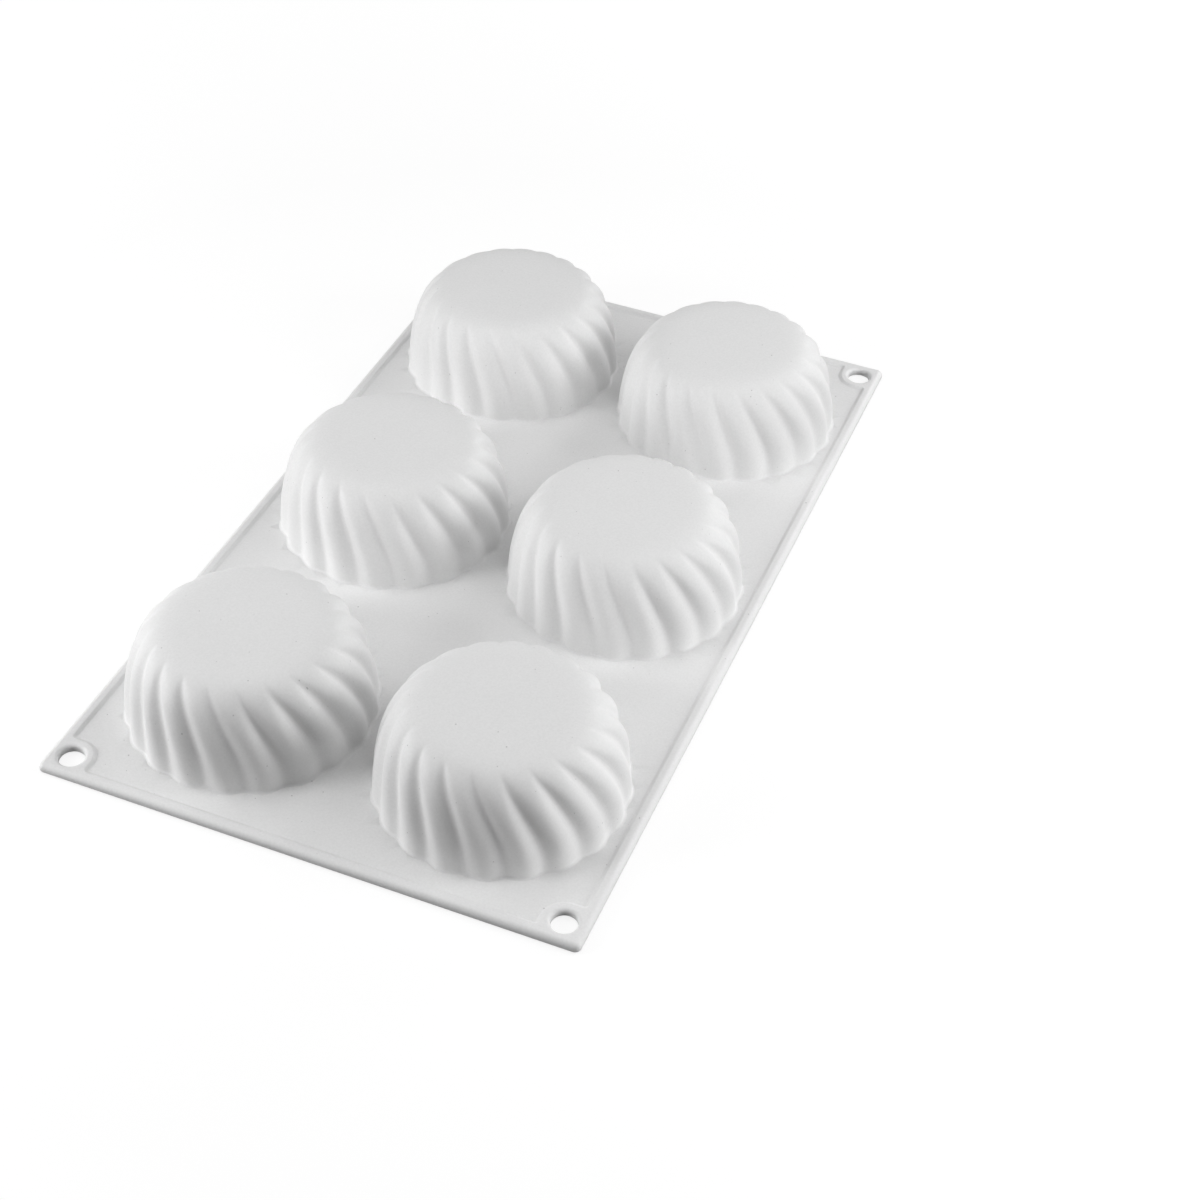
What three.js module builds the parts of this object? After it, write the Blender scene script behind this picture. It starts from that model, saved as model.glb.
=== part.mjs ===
// Silicone mould: a flat sheet that carries six twisted fluted cups, lying on its mouth face with the domes up.
// Millimetres, +Z up. The origin is the centre of the mouth face, x runs across the sheet and y along it.

import * as THREE from "three";

// Layout of the cups, seen from above with the domes up
const columnNames = ["left", "right"];
const rowNames = ["front", "middle", "back"];
const columnGap = 6; // between the flute crests of neighbouring cups across the sheet
const rowGap = 21.7; // and along it
const sideStrip = 2.7; // flat strip between a side bead and the cups
const endStrip = 7.5; // flat strip between an end bead and the cups

// Sheet and the raised bead along its edges
const sheetThickness = 2;
const sheetCornerRadius = 2;
const beadWidth = 3.8;
const beadHeight = 0.8;

// Hanging holes and the pads round them
const holeDiameter = 8;
const holeToEdge = 3.5; // material between a hole and the edges of the sheet
const padWall = 3; // material round a hole, on the side of the cups

// Cups
const cupHeight = 34.5; // mouth face to flat top
const cupRadius = 39; // over the flute crests, at the sheet
const topRadius = 22; // flat top
const wall = 1.6;
const floorWall = 2; // under the flat top
const risePower = 1.05; // fullness of the dome's outline: its rise from the sheet
const roundPower = 0.85; // and its turn in to the flat top

// Flutes, which turn as they climb and run out below the flat top
const fluteCount = 20;
const fluteDepth = 2;
const fluteTwist = 21.5; // degrees, from the sheet to the tips
const twistStart = 0.17; // share of the outline where the turn sets in
const twistBlend = 0.15; // share over which it does
const fluteStart = 7; // degrees, the first valley at the sheet
const tipShare = 0.87; // where the flutes run out, as a share of the dome's outline
const tipFade = 0.5; // share of the outline over which they do

// Collars: inside each mouth a shoulder slopes in to a round lip, with a moat between it and the cup's wall
const lipRadius = 27.2;
const lipWidth = 1.5;
const collarWall = 1.6;
const moatDepth = 10;
const seatClearance = 0.3; // between a collar's seat and the wall beside it
const shoulderReach = 0.68; // the shoulder's bulge, as shares of its reach and depth
const shoulderDepth = 0.42;

// Facets
const cupSteps = 3; // points on each flute
const collarSteps = 2;
const domeBands = 5;
const cavityBands = 3;
const collarBands = 2;
const holeSegments = 20;
const cornerSegments = 4;

const siliconeColour = 0xe8e8e6;

const quarterTurn = Math.PI / 2;
const { clamp, degToRad, lerp } = THREE.MathUtils;

// Sizes that follow from the ones above
const columnPitch = 2 * cupRadius + columnGap;
const rowPitch = 2 * cupRadius + rowGap;
const halfWidth = (columnNames.length - 1) * columnPitch / 2 + cupRadius + sideStrip + beadWidth;
const halfLength = (rowNames.length - 1) * rowPitch / 2 + cupRadius + endStrip + beadWidth;
const holeRadius = holeDiameter / 2;
const holeInset = holeRadius + holeToEdge;
const padRadius = holeRadius + padWall;
const padReach = holeInset + padRadius;
const domeRise = cupHeight - sheetThickness;

// Radius and height of the dome's outline, at a share of the way from the sheet to the edge of the flat top
function domeOutline(share) {
  const angle = share * quarterTurn;
  const radius = topRadius + (cupRadius - topRadius) * Math.cos(angle) ** roundPower;
  return { radius, height: sheetThickness + domeRise * Math.sin(angle) ** risePower };
}

// Share of the way up the outline at a height above the mouth face
function shareAt(height) {
  const rise = clamp((height - sheetThickness) / domeRise, 0, 1);
  return Math.asin(rise ** (1 / risePower)) / quarterTurn;
}

function depthAt(height) {
  return fluteDepth * clamp((tipShare - shareAt(height)) / tipFade, 0, 1);
}

// The flutes climb nearly straight at first, then turn at a steady rate
function twistAt(height) {
  const turned = (share) => Math.hypot(share - twistStart, twistBlend) + share - twistStart;
  const climb = Math.min(shareAt(height), tipShare);
  return -degToRad(fluteTwist) * (turned(climb) - turned(0)) / (turned(tipShare) - turned(0));
}

// A flute's section between two valleys, 0 in a valley and 1 on the crest: full round crest, narrow valley
function fluteSection(phase) {
  return 1 - (1 - Math.sin(phase * Math.PI)) ** 2;
}

// One ring of fluted points, radius measured over the crests
function flutedRing(radius, height, depth, steps) {
  const count = fluteCount * steps;
  const start = degToRad(fluteStart) + twistAt(height);
  return Array.from({ length: count }, (_, i) => {
    const angle = start + (i / count) * 2 * Math.PI;
    const here = radius - depth * (1 - fluteSection((i % steps) / steps));
    return new THREE.Vector3(here * Math.cos(angle), here * Math.sin(angle), height);
  });
}

// A skin through rings of equal length: closed by a point on the axis at both ends, or else by its first ring
function loft(rings, firstPole, lastPole) {
  const count = rings[0].length;
  const points = rings.flat();
  const index = [];
  const at = (ring, i) => (ring % rings.length) * count + (i % count);
  const bands = firstPole ? rings.length - 1 : rings.length;
  for (let ring = 0; ring < bands; ring += 1) {
    for (let i = 0; i < count; i += 1) {
      index.push(at(ring, i), at(ring + 1, i), at(ring + 1, i + 1));
      index.push(at(ring, i), at(ring + 1, i + 1), at(ring, i + 1));
    }
  }
  if (firstPole) {
    const first = points.push(firstPole) - 1;
    const last = points.push(lastPole) - 1;
    for (let i = 0; i < count; i += 1) {
      index.push(first, at(0, i), at(0, i + 1));
      index.push(at(bands, i), last, at(bands, i + 1));
    }
  }
  const geometry = new THREE.BufferGeometry().setFromPoints(points);
  geometry.setIndex(index);
  geometry.computeVertexNormals();
  return geometry;
}

function arcPoints(x, y, radius, from, to, segments) {
  return Array.from({ length: segments + 1 }, (_, i) => {
    const angle = lerp(from, to, i / segments);
    return new THREE.Vector2(x + radius * Math.cos(angle), y + radius * Math.sin(angle));
  });
}

function circlePath(x, y, radius, segments) {
  return new THREE.Path(arcPoints(x, y, radius, 0, 2 * Math.PI, segments).slice(0, -1));
}

function slab(shape, depth) {
  return new THREE.ExtrudeGeometry(shape, { depth, bevelEnabled: false });
}

// Where a collar meets its cup: the cup's inner wall at the bottom of the moat, and the cavity's edge there
const skirtTop = domeOutline(shareAt(moatDepth)).radius - wall;
const seatRadius = skirtTop - seatClearance;
const cavityRadius = seatRadius - collarWall;
const mouthRadius = cupRadius - wall;

// A cup: the dome outside, and inside it the skirt above the sheet, the ledge that a collar seats on and the cavity
function cupGeometry() {
  const ring = (radius, height) => flutedRing(radius, height, depthAt(height), cupSteps);
  const rings = [];
  for (let band = domeBands; band >= 0; band -= 1) {
    const { radius, height } = domeOutline(band / domeBands);
    rings.push(ring(radius, height));
  }
  rings.push(ring(mouthRadius, sheetThickness));
  rings.push(ring(skirtTop, moatDepth));
  const floorHeight = cupHeight - floorWall;
  const floorRadius = topRadius - wall;
  for (let band = 0; band <= cavityBands; band += 1) {
    const angle = (band / cavityBands) * quarterTurn;
    const radius = floorRadius + (cavityRadius - floorRadius) * Math.cos(angle) ** roundPower;
    rings.push(ring(radius, moatDepth + (floorHeight - moatDepth) * Math.sin(angle) ** risePower));
  }
  const top = new THREE.Vector3(0, 0, cupHeight);
  const floor = new THREE.Vector3(0, 0, floorHeight);
  return loft(rings, top, floor);
}

// A collar: a curved shoulder from its seat under the cup's ledge down to the lip, with flutes that fade to the lip
function collarGeometry() {
  const curveTo = (lip, seat) => new THREE.QuadraticBezierCurve(
    new THREE.Vector2(seat, moatDepth),
    new THREE.Vector2(lerp(lip, seat, shoulderReach), shoulderDepth * moatDepth),
    new THREE.Vector2(lip, 0),
  );
  const moatSide = curveTo(lipRadius + lipWidth, seatRadius).getPoints(collarBands);
  const cavitySide = curveTo(lipRadius, cavityRadius).getPoints(collarBands).reverse();
  const section = [...moatSide, ...cavitySide];
  return loft(section.map(({ x, y }) => flutedRing(x, y, fluteDepth * y / moatDepth, collarSteps)));
}

// Calls back with the name and centre of each cup
function forEachCup(place) {
  rowNames.forEach((row, j) => columnNames.forEach((column, i) => {
    const x = (i - (columnNames.length - 1) / 2) * columnPitch;
    const y = (j - (rowNames.length - 1) / 2) * rowPitch;
    place(`${row}_${column}`, x, y);
  }));
}

// Calls back with the name of each corner and the side of the sheet that it is on, along x and y
function forEachCorner(place) {
  for (const [row, ySide] of [["front", -1], ["back", 1]]) {
    for (const [column, xSide] of [["left", -1], ["right", 1]]) {
      place(`${row}_${column}`, xSide, ySide);
    }
  }
}

function hangingHole(xSide, ySide) {
  return circlePath(xSide * (halfWidth - holeInset), ySide * (halfLength - holeInset), holeRadius, holeSegments);
}

function sheetGeometry() {
  const x = halfWidth - sheetCornerRadius;
  const y = halfLength - sheetCornerRadius;
  const corners = [[x, y], [-x, y], [-x, -y], [x, -y]];
  const shape = new THREE.Shape(corners.flatMap(([cornerX, cornerY], i) => arcPoints(
    cornerX, cornerY, sheetCornerRadius, i * quarterTurn, (i + 1) * quarterTurn, cornerSegments,
  )));
  forEachCorner((name, xSide, ySide) => shape.holes.push(hangingHole(xSide, ySide)));
  forEachCup((name, cupX, cupY) => {
    const mouth = flutedRing(mouthRadius, 0, fluteDepth, cupSteps);
    shape.holes.push(new THREE.Path(mouth.map((p) => new THREE.Vector2(p.x + cupX, p.y + cupY))));
  });
  return slab(shape, sheetThickness);
}

// A corner pad: the sheet's own corner outside, and inside an arc about the hole that runs out square to the beads
function padGeometry(xSide, ySide) {
  const x = halfWidth - sheetCornerRadius;
  const y = halfLength - sheetCornerRadius;
  const centre = { x: halfWidth - holeInset, y: halfLength - holeInset };
  const outline = [
    ...arcPoints(x, y, sheetCornerRadius, 0, quarterTurn, cornerSegments),
    new THREE.Vector2(halfWidth - padReach, halfLength),
    ...arcPoints(centre.x, centre.y, padRadius, 2 * quarterTurn, 3 * quarterTurn, holeSegments / 4),
    new THREE.Vector2(halfWidth, halfLength - padReach),
  ];
  const shape = new THREE.Shape(outline.map((p) => new THREE.Vector2(p.x * xSide, p.y * ySide)));
  shape.holes.push(hangingHole(xSide, ySide));
  return slab(shape, beadHeight);
}

const mould = new THREE.Group();

function addPiece(name, geometry, x, y, z) {
  const material = new THREE.MeshStandardMaterial({ color: siliconeColour, roughness: 0.55, metalness: 0 });
  const mesh = new THREE.Mesh(geometry, material);
  mesh.name = name;
  mesh.position.set(x, y, z);
  mould.add(mesh);
}

addPiece("tray_sheet", sheetGeometry(), 0, 0, 0);

const beadCentre = sheetThickness + beadHeight / 2;
for (const [name, side] of [["front", -1], ["back", 1]]) {
  const bead = new THREE.BoxGeometry(2 * (halfWidth - padReach), beadWidth, beadHeight);
  addPiece(`edge_bead_${name}`, bead, 0, side * (halfLength - beadWidth / 2), beadCentre);
}
for (const [name, side] of [["left", -1], ["right", 1]]) {
  const bead = new THREE.BoxGeometry(beadWidth, 2 * (halfLength - padReach), beadHeight);
  addPiece(`edge_bead_${name}`, bead, side * (halfWidth - beadWidth / 2), 0, beadCentre);
}
forEachCorner((name, xSide, ySide) => {
  addPiece(`corner_pad_${name}`, padGeometry(xSide, ySide), 0, 0, sheetThickness);
});

const cup = cupGeometry();
const collar = collarGeometry();
forEachCup((name, x, y) => {
  addPiece(`cup_${name}`, cup, x, y, 0);
  addPiece(`mouth_collar_${name}`, collar, x, y, 0);
});

export default mould;
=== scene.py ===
import math

import bpy
import numpy as np
from mathutils import Matrix, Vector
from mathutils.geometry import delaunay_2d_cdt


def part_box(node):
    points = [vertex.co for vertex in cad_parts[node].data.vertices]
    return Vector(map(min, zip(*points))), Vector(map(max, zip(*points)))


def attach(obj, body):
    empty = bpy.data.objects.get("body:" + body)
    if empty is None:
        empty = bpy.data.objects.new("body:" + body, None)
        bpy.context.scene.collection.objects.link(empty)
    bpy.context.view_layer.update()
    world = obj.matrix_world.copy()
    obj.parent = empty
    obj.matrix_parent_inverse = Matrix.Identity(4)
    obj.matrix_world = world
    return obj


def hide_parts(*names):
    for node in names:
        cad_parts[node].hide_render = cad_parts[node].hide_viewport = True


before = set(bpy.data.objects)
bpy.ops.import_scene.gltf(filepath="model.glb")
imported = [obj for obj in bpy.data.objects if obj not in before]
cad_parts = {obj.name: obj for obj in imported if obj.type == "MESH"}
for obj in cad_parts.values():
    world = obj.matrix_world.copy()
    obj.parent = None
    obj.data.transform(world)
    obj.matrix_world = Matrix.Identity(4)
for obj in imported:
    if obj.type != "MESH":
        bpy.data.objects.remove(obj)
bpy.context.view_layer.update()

mm = 0.001
turn = 2 * math.pi
quarter = math.pi / 2

# places and sizes that come from the solids
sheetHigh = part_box("tray_sheet")[1]
beadLow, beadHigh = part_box("edge_bead_right")
padLow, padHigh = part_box("corner_pad_back_right")
cupLow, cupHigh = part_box("cup_front_left")
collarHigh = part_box("mouth_collar_front_left")[1]
halfWidth, halfLength, sheetTop = sheetHigh
beadWidth = beadHigh.x - beadLow.x
rimTop = beadHigh.z
padReach = padHigh.x - padLow.x
cupRadius = (cupHigh.x - cupLow.x) / 2
cupHeight = cupHigh.z
moatDepth = collarHigh.z
cupNames = sorted(name.removeprefix("cup_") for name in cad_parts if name.startswith("cup_"))


def cupCentre(name):
    low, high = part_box("cup_" + name)
    return (low + high).xy / 2


print("frame read:", len(cupNames), "cups")


# mesh helpers

def linkMesh(name, points, faces):
    mesh = bpy.data.meshes.new(name)
    mesh.from_pydata([tuple(p) for p in points], [], [tuple(f) for f in faces])
    mesh.validate()
    mesh.shade_smooth()
    piece = bpy.data.objects.new(name, mesh)
    bpy.context.scene.collection.objects.link(piece)
    return piece


def bandFaces(first, second):
    # quads between two rings of vertex numbers, facing out when the rings go down the outside
    nextFirst, nextSecond = np.roll(first, -1), np.roll(second, -1)
    return np.stack([first, second, nextSecond, nextFirst], axis=1).tolist()


def ringSkin(name, rings, poles=None):
    # a closed skin through rings of equal length: poles close its two ends, otherwise it meets itself
    rings = np.asarray(rings)
    count = rings.shape[1]
    numbers = np.arange(rings.shape[0] * count).reshape(rings.shape[:2])
    points = rings.reshape(-1, 3).tolist()
    faces = []
    for first, second in zip(numbers, numbers[1:]):
        faces += bandFaces(first, second)
    if poles is None:
        faces += bandFaces(numbers[-1], numbers[0])
        return linkMesh(name, points, faces)
    start, end = len(points), len(points) + 1
    points += [tuple(p) for p in poles]
    faces += [(start, a, b) for a, b in zip(numbers[0], np.roll(numbers[0], -1))]
    faces += [(a, end, b) for a, b in zip(numbers[-1], np.roll(numbers[-1], -1))]
    return linkMesh(name, points, faces)


def insideLoop(points, loop):
    # which points lie inside a closed loop, by counting crossings
    x, y = points[:, 0, None], points[:, 1, None]
    ax, ay = loop[:, 0], loop[:, 1]
    bx, by = np.roll(ax, -1), np.roll(ay, -1)
    spans = (ay > y) != (by > y)
    rise = np.where(by == ay, 1.0, by - ay)
    crossing = ax + (y - ay) * (bx - ax) / rise
    return (spans & (x < crossing)).sum(axis=1) % 2 == 1


# cups: a flat-topped dome, flutes that turn as they climb, and the cavity inside

cupForm = {
    "flutes": 20,
    "pointsPerFlute": 12,
    "footDepth": 1.2 * mm,          # depth of the flutes at the sheet
    "depth": 1.95 * mm,             # and up the side
    "depthReached": 0.3,            # share of the outline where they are that deep
    "twist": math.radians(20.6),    # from the sheet to the tips
    "twistStart": 0.17,             # share of the outline where the turn sets in
    "twistBlend": 0.15,
    "firstValley": math.radians(7),
    "tipShare": 0.84,               # share of the outline where the flutes run out
    "tipLength": 0.6,
    "tipPower": 2.2,                # high for blunt tips
    "tipFade": 0.5,                 # 0 for tips that narrow, 1 for tips that only get shallow
    "valleyRound": 0.4,
    "tipSoftness": 0.1,
    "topRadius": 15 * mm,
    "risePower": 1.05,
    "roundPower": 0.545,
    "wall": 1.6 * mm,
    "floorWall": 2 * mm,
    "footFillet": 0.8 * mm,
    "footSink": 0.05 * mm,
    "sideRings": 44,
    "cavityRings": 26,
    "filletRings": 6,
    "skirtRings": 4,
    "topRings": 4,
    "floorRings": 3,
    "normalStep": 0.002,            # share of the outline that its normal is taken over
}

domeRise = cupHeight - sheetTop
aroundCount = cupForm["flutes"] * cupForm["pointsPerFlute"]
aroundPhase = (np.arange(aroundCount) % cupForm["pointsPerFlute"]) / cupForm["pointsPerFlute"]
aroundAngle = cupForm["firstValley"] + np.arange(aroundCount) / aroundCount * turn


def valleyShape():
    # 1 in the valleys and 0 on the crests: round crests, narrow softened valleys
    soft = cupForm["valleyRound"]
    crest = np.sqrt(np.sin(aroundPhase * math.pi) ** 2 + soft ** 2) - soft
    return 1 - crest / crest.max()


valley = valleyShape()


def outlineAt(share):
    # the dome's outline, 0 at the sheet and 1 at the edge of the flat top, with its outward normal
    def place(s):
        angle = min(max(s, 0.0), 1.0) * quarter
        across = max(math.cos(angle), 0.0) ** cupForm["roundPower"]
        radius = cupForm["topRadius"] + (cupRadius - cupForm["topRadius"]) * across
        return np.array([radius, sheetTop + domeRise * math.sin(angle) ** cupForm["risePower"]])
    step = cupForm["normalStep"]
    along = place(share + step) - place(share - step)
    along /= np.linalg.norm(along)
    return place(share), np.array([along[1], -along[0]])


def shareAt(height):
    rise = min(max((height - sheetTop) / domeRise, 0.0), 1.0)
    return math.asin(rise ** (1 / cupForm["risePower"])) / quarter


def twistAt(share):
    # nearly straight at first, then a steady turn
    def turned(s):
        past = s - cupForm["twistStart"]
        return math.hypot(past, cupForm["twistBlend"]) + past
    tip = cupForm["tipShare"]
    return -cupForm["twist"] * (turned(min(share, tip)) - turned(0)) / (turned(tip) - turned(0))


def fluteCut(share):
    # how deep the flutes cut at each point round the cup: they narrow and fade at their tips
    lift = max((share - cupForm["tipShare"]) / cupForm["tipLength"] + 1, 0.0) ** cupForm["tipPower"]

    def softened(value):
        return (value + np.sqrt(value ** 2 + cupForm["tipSoftness"] ** 2)) / 2
    faded = cupForm["tipFade"]
    cut = softened(valley - lift) * (1 - faded) + valley * softened(1 - lift) * faded
    grown = min(share / cupForm["depthReached"], 1.0)
    return cut * (cupForm["footDepth"] + (cupForm["depth"] - cupForm["footDepth"]) * grown)


def flutedRing(place, normal, share, depthScale=1.0):
    cut = fluteCut(share) * depthScale
    radius = place[0] - normal[0] * cut
    angle = aroundAngle + twistAt(share)
    height = place[1] - normal[1] * cut
    return np.stack([radius * np.cos(angle), radius * np.sin(angle), height], axis=1)


sideways = np.array([1.0, 0.0])
upward = np.array([0.0, 1.0])
mouthRadius = cupRadius - cupForm["wall"]
skirtTop = outlineAt(shareAt(moatDepth))[0][0] - cupForm["wall"]

# collars: each slopes in from the moat to a round lip, and the cup's cavity starts above its seat
collarForm = {
    "wall": 1.6 * mm,
    "lipRadius": 27.2 * mm,
    "lipWidth": 1.1 * mm,
    "lipRound": 0.45 * mm,
    "shoulderReach": 0.68,
    "shoulderDepth": 0.42,
    "rings": 14,
    "lipRings": 6,
    "seatGap": 0.05 * mm,
}
seatRadius = skirtTop - collarForm["seatGap"]
cavityRadius = seatRadius - collarForm["wall"]


def cupRings():
    # from the flat top down the side, round the foot, and up the skirt to the cavity
    rings = []
    for i in range(1, cupForm["topRings"] + 1):
        place = np.array([cupForm["topRadius"] * i / (cupForm["topRings"] + 1), cupHeight])
        rings.append(flutedRing(place, upward, 1.0))
    fillet = cupForm["footFillet"]
    footShare = shareAt(sheetTop + fillet)
    for share in np.linspace(1.0, footShare, cupForm["sideRings"]):
        rings.append(flutedRing(*outlineAt(share), share))
    footRadius = outlineAt(footShare)[0][0]
    for angle in np.linspace(0, quarter, cupForm["filletRings"] + 1)[1:]:
        place = [footRadius + fillet * (1 - math.cos(angle)), sheetTop + fillet * (1 - math.sin(angle))]
        rings.append(flutedRing(np.array(place), sideways, footShare))
    rings.append(rings[-1] - np.array([0, 0, cupForm["footSink"]]))
    rings.append(flutedRing(np.array([mouthRadius, sheetTop]), sideways, 0.0))
    for share in np.linspace(0, 1, cupForm["skirtRings"] + 1)[1:]:
        height = sheetTop + (moatDepth - sheetTop) * share
        place = np.array([mouthRadius + (skirtTop - mouthRadius) * share, height])
        rings.append(flutedRing(place, sideways, shareAt(height)))
    return rings + cavityRings()


def cavityRings():
    floorHeight = cupHeight - cupForm["floorWall"]
    floorRadius = cupForm["topRadius"] - cupForm["wall"]
    rings = []
    for angle in np.linspace(0, quarter, cupForm["cavityRings"]):
        across = max(math.cos(angle), 0.0) ** cupForm["roundPower"]
        height = moatDepth + (floorHeight - moatDepth) * math.sin(angle) ** cupForm["risePower"]
        place = np.array([floorRadius + (cavityRadius - floorRadius) * across, height])
        rings.append(flutedRing(place, sideways, shareAt(height)))
    for share in np.linspace(1, 0, cupForm["floorRings"] + 2)[1:-1]:
        rings.append(flutedRing(np.array([floorRadius * share, floorHeight]), upward, 1.0))
    return rings


def makeCups():
    rings = np.array(cupRings())
    poles = np.array([[0, 0, cupHeight], [0, 0, cupHeight - cupForm["floorWall"]]])
    made = []
    for name in cupNames:
        shift = np.array([*cupCentre(name), 0])
        piece = ringSkin("fluted_cup_" + name, rings + shift, poles + shift)
        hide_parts("cup_" + name)
        made.append(piece)
    return made


def bezier(start, middle, end, count):
    t = np.linspace(0, 1, count)[:, None]
    return (1 - t) ** 2 * start + 2 * t * (1 - t) * middle + t ** 2 * end


def collarRings():
    # from the seat down the moat side, round the lip and back up the cavity side
    lip, width, rounding = collarForm["lipRadius"], collarForm["lipWidth"], collarForm["lipRound"]

    def shoulder(lipEdge, seat):
        start = np.array([seat, moatDepth])
        end = np.array([lipEdge, rounding])
        reach = lipEdge + (seat - lipEdge) * collarForm["shoulderReach"]
        middle = np.array([reach, moatDepth * collarForm["shoulderDepth"]])
        return bezier(start, middle, end, collarForm["rings"])
    moatSide = shoulder(lip + width, seatRadius)
    cavitySide = shoulder(lip, cavityRadius)[::-1]
    angles = np.linspace(0, math.pi, collarForm["lipRings"] + 2)[1:-1]
    lipMiddle = lip + width / 2
    lipEnd = np.stack([lipMiddle + width / 2 * np.cos(angles), rounding * (1 - np.sin(angles))], axis=1)
    section = np.concatenate([moatSide, lipEnd, cavitySide])
    rings = []
    for place in section:
        fade = min(max(place[1] / moatDepth, 0.0), 1.0)
        rings.append(flutedRing(place, sideways, shareAt(place[1]), fade))
    return np.array(rings)


def makeCollars():
    rings = collarRings()
    made = []
    for name in cupNames:
        piece = ringSkin("lip_collar_" + name, rings + np.array([*cupCentre(name), 0]))
        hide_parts("mouth_collar_" + name)
        made.append(piece)
    return made


# tray: the flat sheet with its raised bead, corner pads, hanging holes and scalloped openings

trayForm = {
    "holeRadius": 4 * mm,
    "holeInset": 7.5 * mm,
    "holeRound": 1.2 * mm,
    "padCorner": 0.9 * mm,     # inside corner between a pad and a bead
    "stepWidth": 1.5 * mm,     # soft step from the sheet up to the bead
    "stepRings": 7,
    "edgeRound": 1.8 * mm,
    "edgeRings": 8,
    "cornerRadius": 2 * mm,
    "mouthRound": 0.3 * mm,
    "lineStep": 8 * mm,
    "arcSteps": 8,
    "holeSteps": 40,
    "gridStep": 9 * mm,
    "gridClear": 4 * mm,
    "mergeGap": 1e-9,
}


def arc(x, y, radius, start, end, steps):
    angle = np.linspace(start, end, steps + 1)
    return np.stack([x + radius * np.cos(angle), y + radius * np.sin(angle)], axis=1)


def mirrorLoop(quarterPath):
    # one corner's path, from the right side to the back, carried round all four corners
    back = quarterPath[::-1]
    parts = [quarterPath, (back * [-1, 1])[1:], (quarterPath * [-1, -1])[1:], (back * [1, -1])[1:-1]]
    return np.concatenate(parts)


def alongLine(start, end):
    count = max(int(math.hypot(end[0] - start[0], end[1] - start[1]) / trayForm["lineStep"]), 1)
    share = (np.arange(count) / count)[:, None]
    return np.array(start) * (1 - share) + np.array(end) * share


def rimInner(offset):
    # inner edge of the bead and pads, moved by an offset into the bead
    corner, steps = trayForm["padCorner"], trayForm["arcSteps"]
    inset = trayForm["holeInset"]
    padRadius = padReach - inset
    bead, pad = beadWidth - offset, padReach - offset
    fillet = corner + offset
    # distances from the right and back edges, from the middle of the right side to the middle of the back
    path = [
        alongLine((bead, halfLength), (bead, padReach + corner)),
        arc(beadWidth + corner, padReach + corner, fillet, math.pi, 1.5 * math.pi, steps),
        arc(inset, inset, padRadius - offset, quarter, 0, steps),
        arc(padReach + corner, beadWidth + corner, fillet, math.pi, 1.5 * math.pi, steps),
        alongLine((halfWidth, bead), (padReach + corner, bead))[::-1],
    ]
    distances = np.concatenate(path)
    return mirrorLoop(np.array([halfWidth, halfLength]) - distances)


def outerEdge(inset):
    radius = trayForm["cornerRadius"]
    x, y = halfWidth - radius, halfLength - radius
    path = [
        alongLine((halfWidth - inset, 0), (halfWidth - inset, y)),
        arc(x, y, radius - inset, 0, quarter, trayForm["arcSteps"]),
        alongLine((0, halfLength - inset), (x, halfLength - inset))[::-1],
    ]
    return mirrorLoop(np.concatenate(path))


class Tray:
    # collects the loops, bands and fills of the tray's skin
    def __init__(self):
        self.points = []
        self.faces = []

    def addLoop(self, flat, height):
        first = len(self.points)
        self.points += [(x, y, height) for x, y in flat]
        return np.arange(first, first + len(flat))

    def band(self, first, second):
        self.faces += bandFaces(first, second)

    def flat(self, numbers):
        return np.array([self.points[n][:2] for n in numbers])

    def fill(self, outer, holes, height, up):
        # triangles between an outer loop and its holes, over a grid that keeps them even
        loops = [self.flat(outer)] + [self.flat(h) for h in holes]
        step, clear = trayForm["gridStep"], trayForm["gridClear"]
        # grid points in the open, clear of every loop
        grid = np.array([(x, y) for x in np.arange(-halfWidth, halfWidth, step)
                         for y in np.arange(-halfLength, halfLength, step)])
        keep = insideLoop(grid, loops[0])
        for loop in loops[1:]:
            keep &= ~insideLoop(grid, loop)
        for loop in loops:
            gaps = np.linalg.norm(grid[:, None] - loop[None], axis=2).min(axis=1)
            keep &= gaps > clear
        grid = grid[keep]
        inner = self.addLoop(grid, height)
        numbers = np.concatenate([outer, *holes, inner])
        flat = np.concatenate(loops + [grid])
        edges, first = [], 0
        for loop in loops:
            edges += [(first + i, first + (i + 1) % len(loop)) for i in range(len(loop))]
            first += len(loop)
        corners = [Vector(p) for p in flat]
        made = delaunay_2d_cdt(corners, edges, [], 0, trayForm["mergeGap"])
        madePoints, _, madeFaces, madeFrom = made[:4]
        source = [numbers[ids[0]] for ids in madeFrom]
        triangles = np.array(madeFaces)
        places = np.array([tuple(p) for p in madePoints])
        # triangles on the sheet, turned to face up or down
        middle = places[triangles].mean(axis=1)
        kept = insideLoop(middle, loops[0])
        for loop in loops[1:]:
            kept &= ~insideLoop(middle, loop)
        for triangle in triangles[kept]:
            a, b, c = places[triangle]
            leftward = (b[0] - a[0]) * (c[1] - a[1]) - (b[1] - a[1]) * (c[0] - a[0]) > 0
            ordered = triangle if leftward == up else triangle[::-1]
            self.faces.append([source[n] for n in ordered])


def softStep(share):
    return share * share * (3 - 2 * share)


def addStep(tray):
    # bead and pads: a soft step up from the sheet
    half = trayForm["stepWidth"] / 2
    loops = []
    for share in np.linspace(0, 1, trayForm["stepRings"]):
        height = sheetTop + (rimTop - sheetTop) * softStep(share)
        loops.append(tray.addLoop(rimInner(half * (2 * share - 1)), height))
    for low, high in zip(loops, loops[1:]):
        tray.band(low, high)
    return loops[0], loops[-1]


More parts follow.
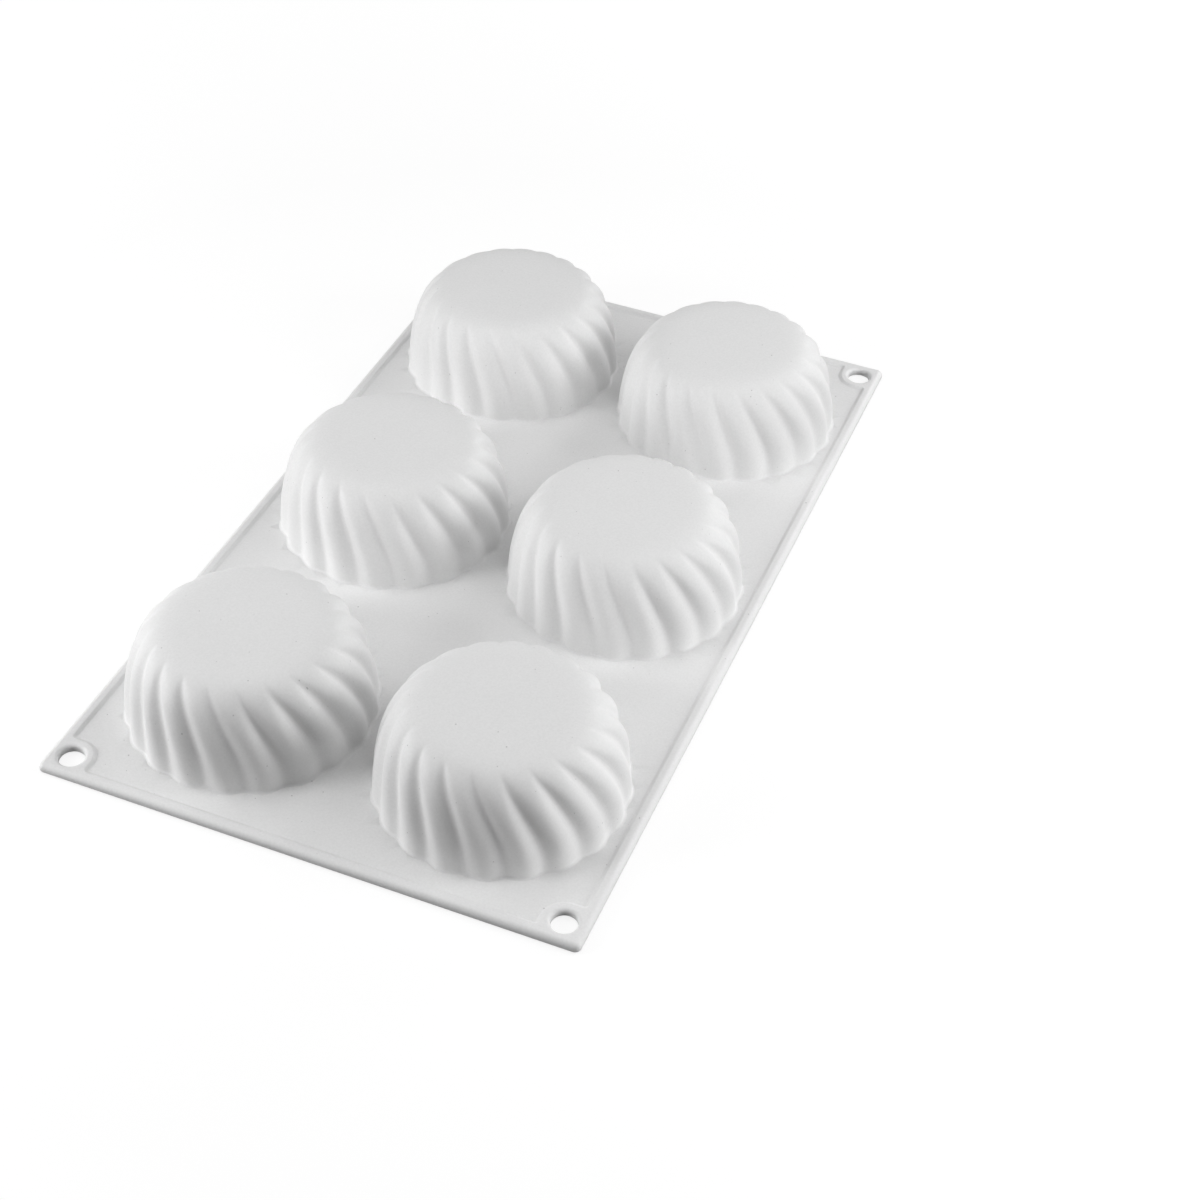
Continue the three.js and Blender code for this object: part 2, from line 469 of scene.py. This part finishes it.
def addEdge(tray):
    # outer edge: round from the bead's top, down to the mouth face
    radius, small = trayForm["edgeRound"], trayForm["mouthRound"]
    loops = []
    for angle in np.linspace(0, quarter, trayForm["edgeRings"]):
        inset = radius * (1 - math.sin(angle))
        loops.append(tray.addLoop(outerEdge(inset), rimTop - radius * (1 - math.cos(angle))))
    loops.append(tray.addLoop(outerEdge(0), small))
    loops.append(tray.addLoop(outerEdge(small), 0))
    for high, low in zip(loops, loops[1:]):
        tray.band(high, low)
    return loops[0], loops[-1]


def addHole(tray, x, y):
    # one hanging hole, rounded at the pad
    hole, rounding, small = trayForm["holeRadius"], trayForm["holeRound"], trayForm["mouthRound"]

    def ring(radius):
        return arc(x, y, radius, 0, turn, trayForm["holeSteps"])[:-1]
    loops = []
    for angle in np.linspace(0, quarter, trayForm["edgeRings"]):
        inset = rounding * (1 - math.sin(angle))
        loops.append(tray.addLoop(ring(hole + inset), rimTop - rounding * (1 - math.cos(angle))))
    loops.append(tray.addLoop(ring(hole), small))
    loops.append(tray.addLoop(ring(hole + small), 0))
    for high, low in zip(loops, loops[1:]):
        tray.band(low, high)
    return loops[0], loops[-1]


def addMouth(tray, name):
    # the scalloped opening under one cup
    small = trayForm["mouthRound"]
    ring = flutedRing(np.array([mouthRadius, 0.0]), sideways, 0.0)[:, :2]
    wide = flutedRing(np.array([mouthRadius + small, 0.0]), sideways, 0.0)[:, :2]
    centre = list(cupCentre(name))
    top = tray.addLoop(ring + centre, sheetTop)
    low = tray.addLoop(ring + centre, small)
    bottom = tray.addLoop(wide + centre, 0)
    tray.band(low, top)
    tray.band(bottom, low)
    return top, bottom


def makeTray():
    tray = Tray()
    stepLow, stepHigh = addStep(tray)
    edgeTop, edgeBottom = addEdge(tray)
    holeX, holeY = halfWidth - trayForm["holeInset"], halfLength - trayForm["holeInset"]
    holes = [addHole(tray, xSide * holeX, ySide * holeY) for xSide in (-1, 1) for ySide in (-1, 1)]
    holeTops, holeBottoms = zip(*holes)
    mouthTops, mouthBottoms = zip(*[addMouth(tray, name) for name in cupNames])
    tray.fill(stepLow, mouthTops, sheetTop, True)
    tray.fill(edgeTop, [stepHigh, *holeTops], rimTop, True)
    tray.fill(edgeBottom, [*holeBottoms, *mouthBottoms], 0, False)
    piece = linkMesh("tray_skin", tray.points, tray.faces)
    normals = piece.modifiers.new("flatFaces", "WEIGHTED_NORMAL")
    normals.keep_sharp = True
    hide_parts(*[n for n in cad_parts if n.startswith(("tray_", "edge_", "corner_"))])
    return piece


# silicone: shared skin effects, then one material for each kind of surface

def newGroup(name, inputs, outputs):
    group = bpy.data.node_groups.new(name, "ShaderNodeTree")
    for label, kind, value in inputs:
        socket = group.interface.new_socket(label, in_out="INPUT", socket_type=kind)
        socket.default_value = value
    for label, kind in outputs:
        group.interface.new_socket(label, in_out="OUTPUT", socket_type=kind)
    ends = group.nodes.new("NodeGroupInput"), group.nodes.new("NodeGroupOutput")
    return group, ends[0].outputs, ends[1].inputs


def addNode(tree, kind, links=None, **settings):
    # a node with its settings and the values or links of its sockets
    node = tree.nodes.new(kind)
    for key, value in settings.items():
        setattr(node, key, value)
    for key, value in (links or {}).items():
        if isinstance(value, bpy.types.NodeSocket):
            tree.links.new(value, node.inputs[key])
        else:
            node.inputs[key].default_value = value
    return node


skinNoise = {"cloudDetail": 3.0, "grainDetail": 2.0, "peelDetail": 2.0, "peelWeight": 2.0}


def makeMottleGroup():
    # slow clouds and fine grain of a moulded silicone skin
    floats = [("Cloud Scale", 40.0), ("Cloud Depth", 0.04), ("Grain Scale", 1400.0),
              ("Grain Depth", 0.12), ("Peel Scale", 260.0)]
    inputs = [("Tint", "NodeSocketColor", (0.8, 0.8, 0.8, 1))]
    inputs += [(label, "NodeSocketFloat", value) for label, value in floats]
    outputs = [("Color", "NodeSocketColor"), ("Clouds", "NodeSocketFloat"), ("Height", "NodeSocketFloat")]
    group, given, result = newGroup("siliconeMottle", inputs, outputs)
    place = addNode(group, "ShaderNodeTexCoord").outputs["Object"]
    clouds = addNode(group, "ShaderNodeTexNoise",
                     {"Vector": place, "Scale": given["Cloud Scale"],
                      "Detail": skinNoise["cloudDetail"]})
    grain = addNode(group, "ShaderNodeTexNoise",
                    {"Vector": place, "Scale": given["Grain Scale"],
                     "Detail": skinNoise["grainDetail"]})
    peel = addNode(group, "ShaderNodeTexNoise",
                   {"Vector": place, "Scale": given["Peel Scale"],
                    "Detail": skinNoise["peelDetail"]})
    speckle = addNode(group, "ShaderNodeMath", {0: grain.outputs["Fac"], 1: given["Grain Depth"]},
                      operation="MULTIPLY")
    shade = addNode(group, "ShaderNodeMath",
                    {0: clouds.outputs["Fac"], 1: given["Cloud Depth"], 2: speckle.outputs[0]},
                    operation="MULTIPLY_ADD")
    level = addNode(group, "ShaderNodeMath", {0: 1.0, 1: shade.outputs[0]}, operation="SUBTRACT")
    tinted = addNode(group, "ShaderNodeVectorMath", {0: given["Tint"], "Scale": level.outputs[0]},
                     operation="SCALE")
    height = addNode(group, "ShaderNodeMath",
                     {0: peel.outputs["Fac"], 1: skinNoise["peelWeight"], 2: grain.outputs["Fac"]},
                     operation="MULTIPLY_ADD")
    group.links.new(tinted.outputs[0], result["Color"])
    group.links.new(clouds.outputs["Fac"], result["Clouds"])
    group.links.new(height.outputs[0], result["Height"])
    return group


def makeSpeckGroup():
    # sparse dust specks: a few cells of a scatter hold one small round mark
    floats = [("Scale", 400.0), ("Size", 0.14), ("Share", 0.4)]
    group, given, result = newGroup(
        "dustSpecks", [(label, "NodeSocketFloat", value) for label, value in floats],
        [("Mask", "NodeSocketFloat")])
    place = addNode(group, "ShaderNodeTexCoord").outputs["Object"]
    cells = addNode(group, "ShaderNodeTexVoronoi", {"Vector": place, "Scale": given["Scale"]})
    pick = addNode(group, "ShaderNodeSeparateColor", {"Color": cells.outputs["Color"]})
    chosen = addNode(group, "ShaderNodeMath", {0: pick.outputs["Red"], 1: given["Share"]},
                     operation="LESS_THAN")
    size = addNode(group, "ShaderNodeMath", {0: pick.outputs["Green"], 1: given["Size"]},
                   operation="MULTIPLY")
    near = addNode(group, "ShaderNodeMapRange",
                   {"Value": cells.outputs["Distance"], "From Min": size.outputs[0], "From Max": 0.0})
    mask = addNode(group, "ShaderNodeMath", {0: near.outputs[0], 1: chosen.outputs[0]},
                   operation="MULTIPLY")
    group.links.new(mask.outputs[0], result["Mask"])
    return group


mottleGroup = makeMottleGroup()
speckGroup = makeSpeckGroup()

siliconeFinishes = {
    # the tray's tint is set a little lighter than the cups': painted light, standing in for the brighter
    # light that falls on the sheet
    "traySilicone": {"tint": (0.88, 0.88, 0.88, 1), "cloud": 0.04, "rough": (0.44, 0.58), "bump": 0.25,
                     "specks": 0.3, "speckDark": 0.45},
    "cupSilicone": {"tint": (0.86, 0.86, 0.86, 1), "cloud": 0.03, "rough": (0.46, 0.6), "bump": 0.25,
                    "specks": 0.35, "speckDark": 0.4},
    "collarSilicone": {"tint": (0.86, 0.86, 0.86, 1), "cloud": 0.03, "rough": (0.42, 0.54), "bump": 0.2,
                       "specks": 0.2, "speckDark": 0.5},
}
siliconeBody = {
    "subsurface": 0.12,
    "subsurfaceScale": 1.2 * mm,
    "ior": 1.41,
    "bumpHeight": 0.05 * mm,
    "cloudSpan": (0.3, 0.7),    # clouds between these run from the smooth to the rough end
}


def makeSilicone(name):
    finish = siliconeFinishes[name]
    material = bpy.data.materials.new(name)
    material.use_nodes = True
    tree = material.node_tree
    shader = tree.nodes["Principled BSDF"]
    mottle = addNode(tree, "ShaderNodeGroup", node_tree=mottleGroup)
    mottle.inputs["Tint"].default_value = finish["tint"]
    mottle.inputs["Cloud Depth"].default_value = finish["cloud"]
    specks = addNode(tree, "ShaderNodeGroup", node_tree=speckGroup)
    specks.inputs["Share"].default_value = finish["specks"]
    dark = finish["speckDark"]
    marked = addNode(tree, "ShaderNodeMix",
                     {"Factor": specks.outputs["Mask"], "A": mottle.outputs["Color"],
                      "B": (dark, dark, dark, 1)}, data_type="RGBA", blend_type="MULTIPLY")
    cloudLow, cloudHigh = siliconeBody["cloudSpan"]
    smoothest, roughest = finish["rough"]
    rough = addNode(tree, "ShaderNodeMapRange",
                    {"Value": mottle.outputs["Clouds"], "From Min": cloudLow, "From Max": cloudHigh,
                     "To Min": smoothest, "To Max": roughest})
    bump = addNode(tree, "ShaderNodeBump",
                   {"Height": mottle.outputs["Height"], "Strength": finish["bump"],
                    "Distance": siliconeBody["bumpHeight"]})
    tree.links.new(marked.outputs["Result"], shader.inputs["Base Color"])
    tree.links.new(rough.outputs["Result"], shader.inputs["Roughness"])
    tree.links.new(bump.outputs["Normal"], shader.inputs["Normal"])
    shader.inputs["IOR"].default_value = siliconeBody["ior"]
    shader.inputs["Subsurface Weight"].default_value = siliconeBody["subsurface"]
    shader.inputs["Subsurface Scale"].default_value = siliconeBody["subsurfaceScale"]
    shader.inputs["Subsurface Radius"].default_value = (1, 1, 1)
    return material


# studio: pale floor, soft lights at the sides and above, white behind

studio = {
    "floorDrop": 0.4 * mm,
    "floorSize": 6.0,
    "floorColour": (0.2, 0.2, 0.2, 1),
    "floorRough": 0.9,
    "floorLift": 0.84,          # white that only the camera and reflections see, near the mould
    "liftNear": 0.25,           # it rises to full white between these distances
    "liftFar": 0.8,
    "worldLight": 0.03,
    "target": (0, 0, 0.015),
}
lamps = {
    "topLeftSoftbox": {"place": (-0.3, -0.06, 0.55), "size": (0.3, 0.9), "power": 1.6},
    "topRightSoftbox": {"place": (0.3, 0.0, 0.55), "size": (0.3, 0.3), "power": 0.65},
    "frontLeftSoftbox": {"place": (-0.55, -0.45, 0.3), "size": (0.25, 0.25), "power": 2.19},
    "frontLeftStrip": {"place": (-0.55, -0.45, 0.08), "size": (0.25, 0.25), "power": 0.5},
    "leftStrip": {"place": (-0.55, -0.15, 0.08), "size": (0.25, 0.25), "power": 0.55},
    "rightStrip": {"place": (0.55, -0.15, 0.08), "size": (0.25, 0.25), "power": 1.13},
    "rightSoftbox": {"place": (0.55, 0.15, 0.3), "size": (0.25, 0.25), "power": 1.27},
    "backSoftbox": {"place": (0.25, 0.65, 0.3), "size": (0.3, 0.3), "power": 1.28},
}


def makeLamp(name, setting):
    data = bpy.data.lights.new(name, "AREA")
    data.shape = "RECTANGLE"
    data.size, data.size_y = setting["size"]
    data.energy = setting["power"]
    lamp = bpy.data.objects.new(name, data)
    lamp.location = setting["place"]
    lamp.visible_camera = False
    aim = Vector(studio["target"]) - lamp.location
    lamp.rotation_euler = aim.to_track_quat("-Z", "Y").to_euler()
    bpy.context.scene.collection.objects.link(lamp)


def whiteSeen(tree, seenStrength, lightStrength):
    # one strength for what the camera, gloss and glass see, another for the light that falls
    path = addNode(tree, "ShaderNodeLightPath").outputs
    either = addNode(tree, "ShaderNodeMath",
                     {0: path["Is Camera Ray"], 1: path["Is Glossy Ray"]}, operation="MAXIMUM")
    seen = addNode(tree, "ShaderNodeMath",
                   {0: either.outputs[0], 1: path["Is Transmission Ray"]}, operation="MAXIMUM")
    return addNode(tree, "ShaderNodeMapRange",
                   {"Value": seen.outputs[0], "To Min": lightStrength, "To Max": seenStrength}).outputs[0]


def makeFloor():
    half = studio["floorSize"] / 2
    low = -studio["floorDrop"]
    corners = [(-half, -half, low), (half, -half, low), (half, half, low), (-half, half, low)]
    floor = linkMesh("floor", corners, [(0, 1, 2, 3)])
    material = bpy.data.materials.new("paleFloor")
    material.use_nodes = True
    tree = material.node_tree
    shader = tree.nodes["Principled BSDF"]
    shader.inputs["Base Color"].default_value = studio["floorColour"]
    shader.inputs["Roughness"].default_value = studio["floorRough"]
    shader.inputs["Specular IOR Level"].default_value = 0.0
    place = addNode(tree, "ShaderNodeNewGeometry").outputs["Position"]
    away = addNode(tree, "ShaderNodeVectorMath", {0: place}, operation="LENGTH").outputs["Value"]
    lift = addNode(tree, "ShaderNodeMapRange",
                   {"Value": away, "From Min": studio["liftNear"], "From Max": studio["liftFar"],
                    "To Min": studio["floorLift"], "To Max": 1.0}).outputs[0]
    seen = whiteSeen(tree, lift, 0.0)
    shader.inputs["Emission Color"].default_value = (1, 1, 1, 1)
    tree.links.new(seen, shader.inputs["Emission Strength"])
    floor.data.materials.append(material)


def makeWorld():
    world = bpy.data.worlds.new("studioWhite")
    world.use_nodes = True
    tree = world.node_tree
    background = tree.nodes["Background"]
    background.inputs["Color"].default_value = (1, 1, 1, 1)
    tree.links.new(whiteSeen(tree, 1.0, studio["worldLight"]), background.inputs["Strength"])
    bpy.context.scene.world = world


# camera: fitted to the corners of the sheet in the photograph

view = {
    "place": (220.4 * mm, -502.9 * mm, 468.7 * mm),
    "right": (0.92694, 0.37392, 0.03127),
    "up": (-0.27083, 0.60903, 0.74548),
    "focalShare": 2138.8 / 1200,    # focal length over picture width
    "sensor": 36.0,
    "clip": (0.01, 50),
}


def makeCamera():
    data = bpy.data.cameras.new("camera")
    data.sensor_width = view["sensor"]
    data.lens = view["focalShare"] * view["sensor"]
    data.clip_start, data.clip_end = view["clip"]
    camera = bpy.data.objects.new("camera", data)
    right, up = Vector(view["right"]), Vector(view["up"])
    turned = Matrix((right, up, right.cross(up))).transposed()
    camera.matrix_world = Matrix.Translation(view["place"]) @ turned.to_4x4()
    bpy.context.scene.collection.objects.link(camera)
    bpy.context.scene.camera = camera


def dress(piece, material):
    piece.data.materials.clear()
    piece.data.materials.append(material)
    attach(piece, "root")


makeCamera()
trayMaterial = makeSilicone("traySilicone")
cupMaterial = makeSilicone("cupSilicone")
collarMaterial = makeSilicone("collarSilicone")
print("materials ready")

dress(makeTray(), trayMaterial)
print("tray made")
for piece in makeCups():
    dress(piece, cupMaterial)
for piece in makeCollars():
    dress(piece, collarMaterial)
print("cups and collars made")

makeFloor()
makeWorld()
for lampName, setting in lamps.items():
    makeLamp(lampName, setting)
bpy.context.scene.view_settings.view_transform = "Standard"
print("studio ready")
